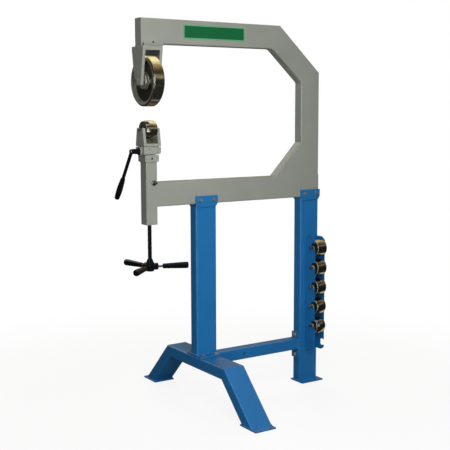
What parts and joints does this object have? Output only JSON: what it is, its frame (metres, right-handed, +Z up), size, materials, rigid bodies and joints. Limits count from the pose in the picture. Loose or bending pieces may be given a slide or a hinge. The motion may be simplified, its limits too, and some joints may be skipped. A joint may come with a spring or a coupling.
{
  "type": "english wheel",
  "caption": "Floor-standing sheet metal wheeling machine: box tube C-frame, flat upper wheel, crowned lower anvil on a screw and cam lift, bolted stand and anvil rack.",
  "frame": {"origin": "centre of the machine's bounding box, on the floor", "axes": "+X from the mouth of the C to its spine, along the wheel axles; +Y to the side away from the anvil rack; +Z up"},
  "size_m": [1.0226, 0.927, 1.632],
  "materials": {
    "frame_enamel": "satin grey-green enamel",
    "stand_enamel": "satin blue enamel",
    "wheel_steel": "ground and polished",
    "bearing_steel": "fine turned",
    "axle_steel": "turned",
    "nut_steel": "machined",
    "zinc_steel": "bright zinc plating",
    "black_oxide": "oiled black oxide",
    "grip_plastic": "smooth black"
  },
  "bodies": {
    "frame": {"upper_arm": "frame_enamel", "upper_diagonal": "frame_enamel", "spine": "frame_enamel", "lower_arm": "frame_enamel", "throat_gusset": "frame_enamel", "front_post": "frame_enamel", "post_collar": "frame_enamel", "upper_fork": "frame_enamel", "nut_block": "nut_steel", "lock_bolt": "zinc_steel", "upper_axle": "zinc_steel", "ear_bolt_1": "zinc_steel", "ear_bolt_2": "zinc_steel", "ear_bolt_3": "zinc_steel", "ear_bolt_4": "zinc_steel", "base_bolt_1": "zinc_steel", "base_bolt_2": "zinc_steel", "base_bolt_3": "zinc_steel", "base_bolt_4": "zinc_steel", "tie_bolt_1": "zinc_steel", "tie_bolt_2": "zinc_steel", "front_column": "stand_enamel", "rear_column": "stand_enamel", "cross_beam": "stand_enamel", "near_leg": "stand_enamel", "far_leg": "stand_enamel", "tie_beam": "stand_enamel", "anvil_rack": "stand_enamel"},
    "upper_wheel": {"upper_wheel": "wheel_steel", "upper_bearing_front": "bearing_steel", "upper_bearing_rear": "bearing_steel"},
    "carriage": {"cam_housing": "frame_enamel", "cam_cover": "frame_enamel"},
    "screw": {"lift_screw": "black_oxide", "thrust_bearing": "bearing_steel", "crank_hub": "black_oxide", "crank_rod_1": "axle_steel", "crank_rod_2": "axle_steel", "crank_rod_3": "axle_steel", "crank_grip_1": "grip_plastic", "crank_grip_2": "grip_plastic", "crank_grip_3": "grip_plastic"},
    "cam_lever": {"cam_shaft": "black_oxide", "lever_rod": "black_oxide", "lever_grip": "grip_plastic"},
    "yoke": {"yoke": "frame_enamel", "working_axle": "axle_steel"},
    "working_anvil": {"working_anvil": "wheel_steel"},
    "stored_axle_1": {"stored_axle_1": "axle_steel"},
    "stored_anvil_1": {"stored_anvil_1": "wheel_steel"},
    "stored_axle_2": {"stored_axle_2": "axle_steel"},
    "stored_anvil_2": {"stored_anvil_2": "wheel_steel"},
    "stored_axle_3": {"stored_axle_3": "axle_steel"},
    "stored_anvil_3": {"stored_anvil_3": "wheel_steel"},
    "stored_axle_4": {"stored_axle_4": "axle_steel"},
    "stored_anvil_4": {"stored_anvil_4": "wheel_steel"},
    "stored_axle_5": {"stored_axle_5": "axle_steel"},
    "stored_anvil_5": {"stored_anvil_5": "wheel_steel"}
  },
  "joints": [
    {"name": "upper_wheel_spin", "type": "hinge", "parent": "frame", "child": "upper_wheel", "pos_m": [-0.38121, 0, 1.3822], "axis": [1, 0, 0], "continuous": true},
    {"name": "carriage_lift", "type": "slide", "parent": "frame", "child": "carriage", "axis": [0, 0, 1], "range_m": [-0.001, 0.045]},
    {"name": "screw_turn", "type": "hinge", "parent": "carriage", "child": "screw", "pos_m": [-0.38121, 0, 0.912], "axis": [0, 0, 1], "range_deg": [-85, 3826]},
    {"name": "cam_lever_turn", "type": "hinge", "parent": "carriage", "child": "cam_lever", "pos_m": [-0.38121, 0, 1.1], "axis": [1, 0, 0], "range_deg": [0, 110]},
    {"name": "yoke_lift", "type": "slide", "parent": "carriage", "child": "yoke", "axis": [0, 0, 1], "range_m": [0, 0.008]},
    {"name": "working_anvil_spin", "type": "hinge", "parent": "yoke", "child": "working_anvil", "pos_m": [-0.38121, 0, 1.1863], "axis": [1, 0, 0], "continuous": true},
    {"name": "stored_anvil_1_lift_out", "type": "slide", "parent": "frame", "child": "stored_axle_1", "axis": [0, -0.8829, 0.4695], "range_m": [0, 0.062]},
    {"name": "stored_anvil_1_spin", "type": "hinge", "parent": "stored_axle_1", "child": "stored_anvil_1", "pos_m": [0.44839, -0.0747, 0.2784], "axis": [1, 0, 0], "continuous": true},
    {"name": "stored_anvil_2_lift_out", "type": "slide", "parent": "frame", "child": "stored_axle_2", "axis": [0, -0.8829, 0.4695], "range_m": [0, 0.062]},
    {"name": "stored_anvil_2_spin", "type": "hinge", "parent": "stored_axle_2", "child": "stored_anvil_2", "pos_m": [0.44839, -0.0747, 0.3688], "axis": [1, 0, 0], "continuous": true},
    {"name": "stored_anvil_3_lift_out", "type": "slide", "parent": "frame", "child": "stored_axle_3", "axis": [0, -0.8829, 0.4695], "range_m": [0, 0.062]},
    {"name": "stored_anvil_3_spin", "type": "hinge", "parent": "stored_axle_3", "child": "stored_anvil_3", "pos_m": [0.44839, -0.0747, 0.4592], "axis": [1, 0, 0], "continuous": true},
    {"name": "stored_anvil_4_lift_out", "type": "slide", "parent": "frame", "child": "stored_axle_4", "axis": [0, -0.8829, 0.4695], "range_m": [0, 0.062]},
    {"name": "stored_anvil_4_spin", "type": "hinge", "parent": "stored_axle_4", "child": "stored_anvil_4", "pos_m": [0.44839, -0.0747, 0.5496], "axis": [1, 0, 0], "continuous": true},
    {"name": "stored_anvil_5_lift_out", "type": "slide", "parent": "frame", "child": "stored_axle_5", "axis": [0, -0.8829, 0.4695], "range_m": [0, 0.062]},
    {"name": "stored_anvil_5_spin", "type": "hinge", "parent": "stored_axle_5", "child": "stored_anvil_5", "pos_m": [0.44839, -0.0747, 0.64], "axis": [1, 0, 0], "continuous": true}
  ],
  "couplings": [
    {"joint": "carriage_lift", "follows": "screw_turn", "m_per_rad": 0.0006737},
    {"joint": "yoke_lift", "follows": "cam_lever_turn", "m_per_rad": 0.004166}
  ]
}
